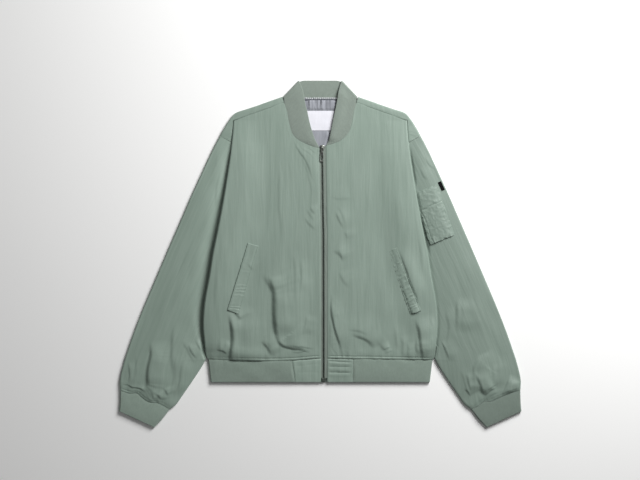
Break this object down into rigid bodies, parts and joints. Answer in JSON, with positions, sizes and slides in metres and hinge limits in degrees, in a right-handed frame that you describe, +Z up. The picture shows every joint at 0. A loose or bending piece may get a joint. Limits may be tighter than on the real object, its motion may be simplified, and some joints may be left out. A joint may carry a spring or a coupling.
{
  "type": "bomber jacket",
  "caption": "Zip-up bomber jacket laid flat, front up: crinkled shell, rib collar, cuffs and hem, slanted welt pockets, a sleeve pocket and a swinging zip pull.",
  "frame": {"origin": "middle of the footprint, on the surface that the jacket lies on", "axes": "+X to the wearer's left, +Y from the hem up to the collar, +Z up, out of the jacket's front"},
  "size_m": [0.926, 0.7986, 0.0149],
  "materials": {
    "crinkled_nylon": "matt crinkled nylon with a soft sheen",
    "rib_knit": "matt knit",
    "lining_satin": "satin",
    "woven_label": "satin woven",
    "black_webbing": "matt woven",
    "zip_tape": "matt woven",
    "dark_nickel": "satin, plated dark"
  },
  "bodies": {
    "garment": {"back_panel": "crinkled_nylon", "collar_rib": "rib_knit", "cuff_left": "rib_knit", "cuff_right": "rib_knit", "front_left": "crinkled_nylon", "front_right": "crinkled_nylon", "hem_rib": "rib_knit", "hem_tab_left": "crinkled_nylon", "hem_tab_right": "crinkled_nylon", "lining_back": "lining_satin", "neck_label": "woven_label", "pocket_welt_left": "crinkled_nylon", "pocket_welt_right": "crinkled_nylon", "sleeve_left": "crinkled_nylon", "sleeve_pocket": "crinkled_nylon", "sleeve_right": "crinkled_nylon", "sleeve_tab": "black_webbing", "zip_box": "dark_nickel", "zip_chain": "dark_nickel", "zip_slider": "dark_nickel", "zip_tape_left": "zip_tape", "zip_tape_right": "zip_tape"},
    "pull": {"zip_pull": "dark_nickel"}
  },
  "joints": [
    {"name": "pull_hinge", "type": "hinge", "parent": "garment", "child": "pull", "pos_m": [0.00465, 0.2435, 0.0105], "axis": [-0.9976, 0.0698, 0], "range_deg": [0, 150]}
  ]
}
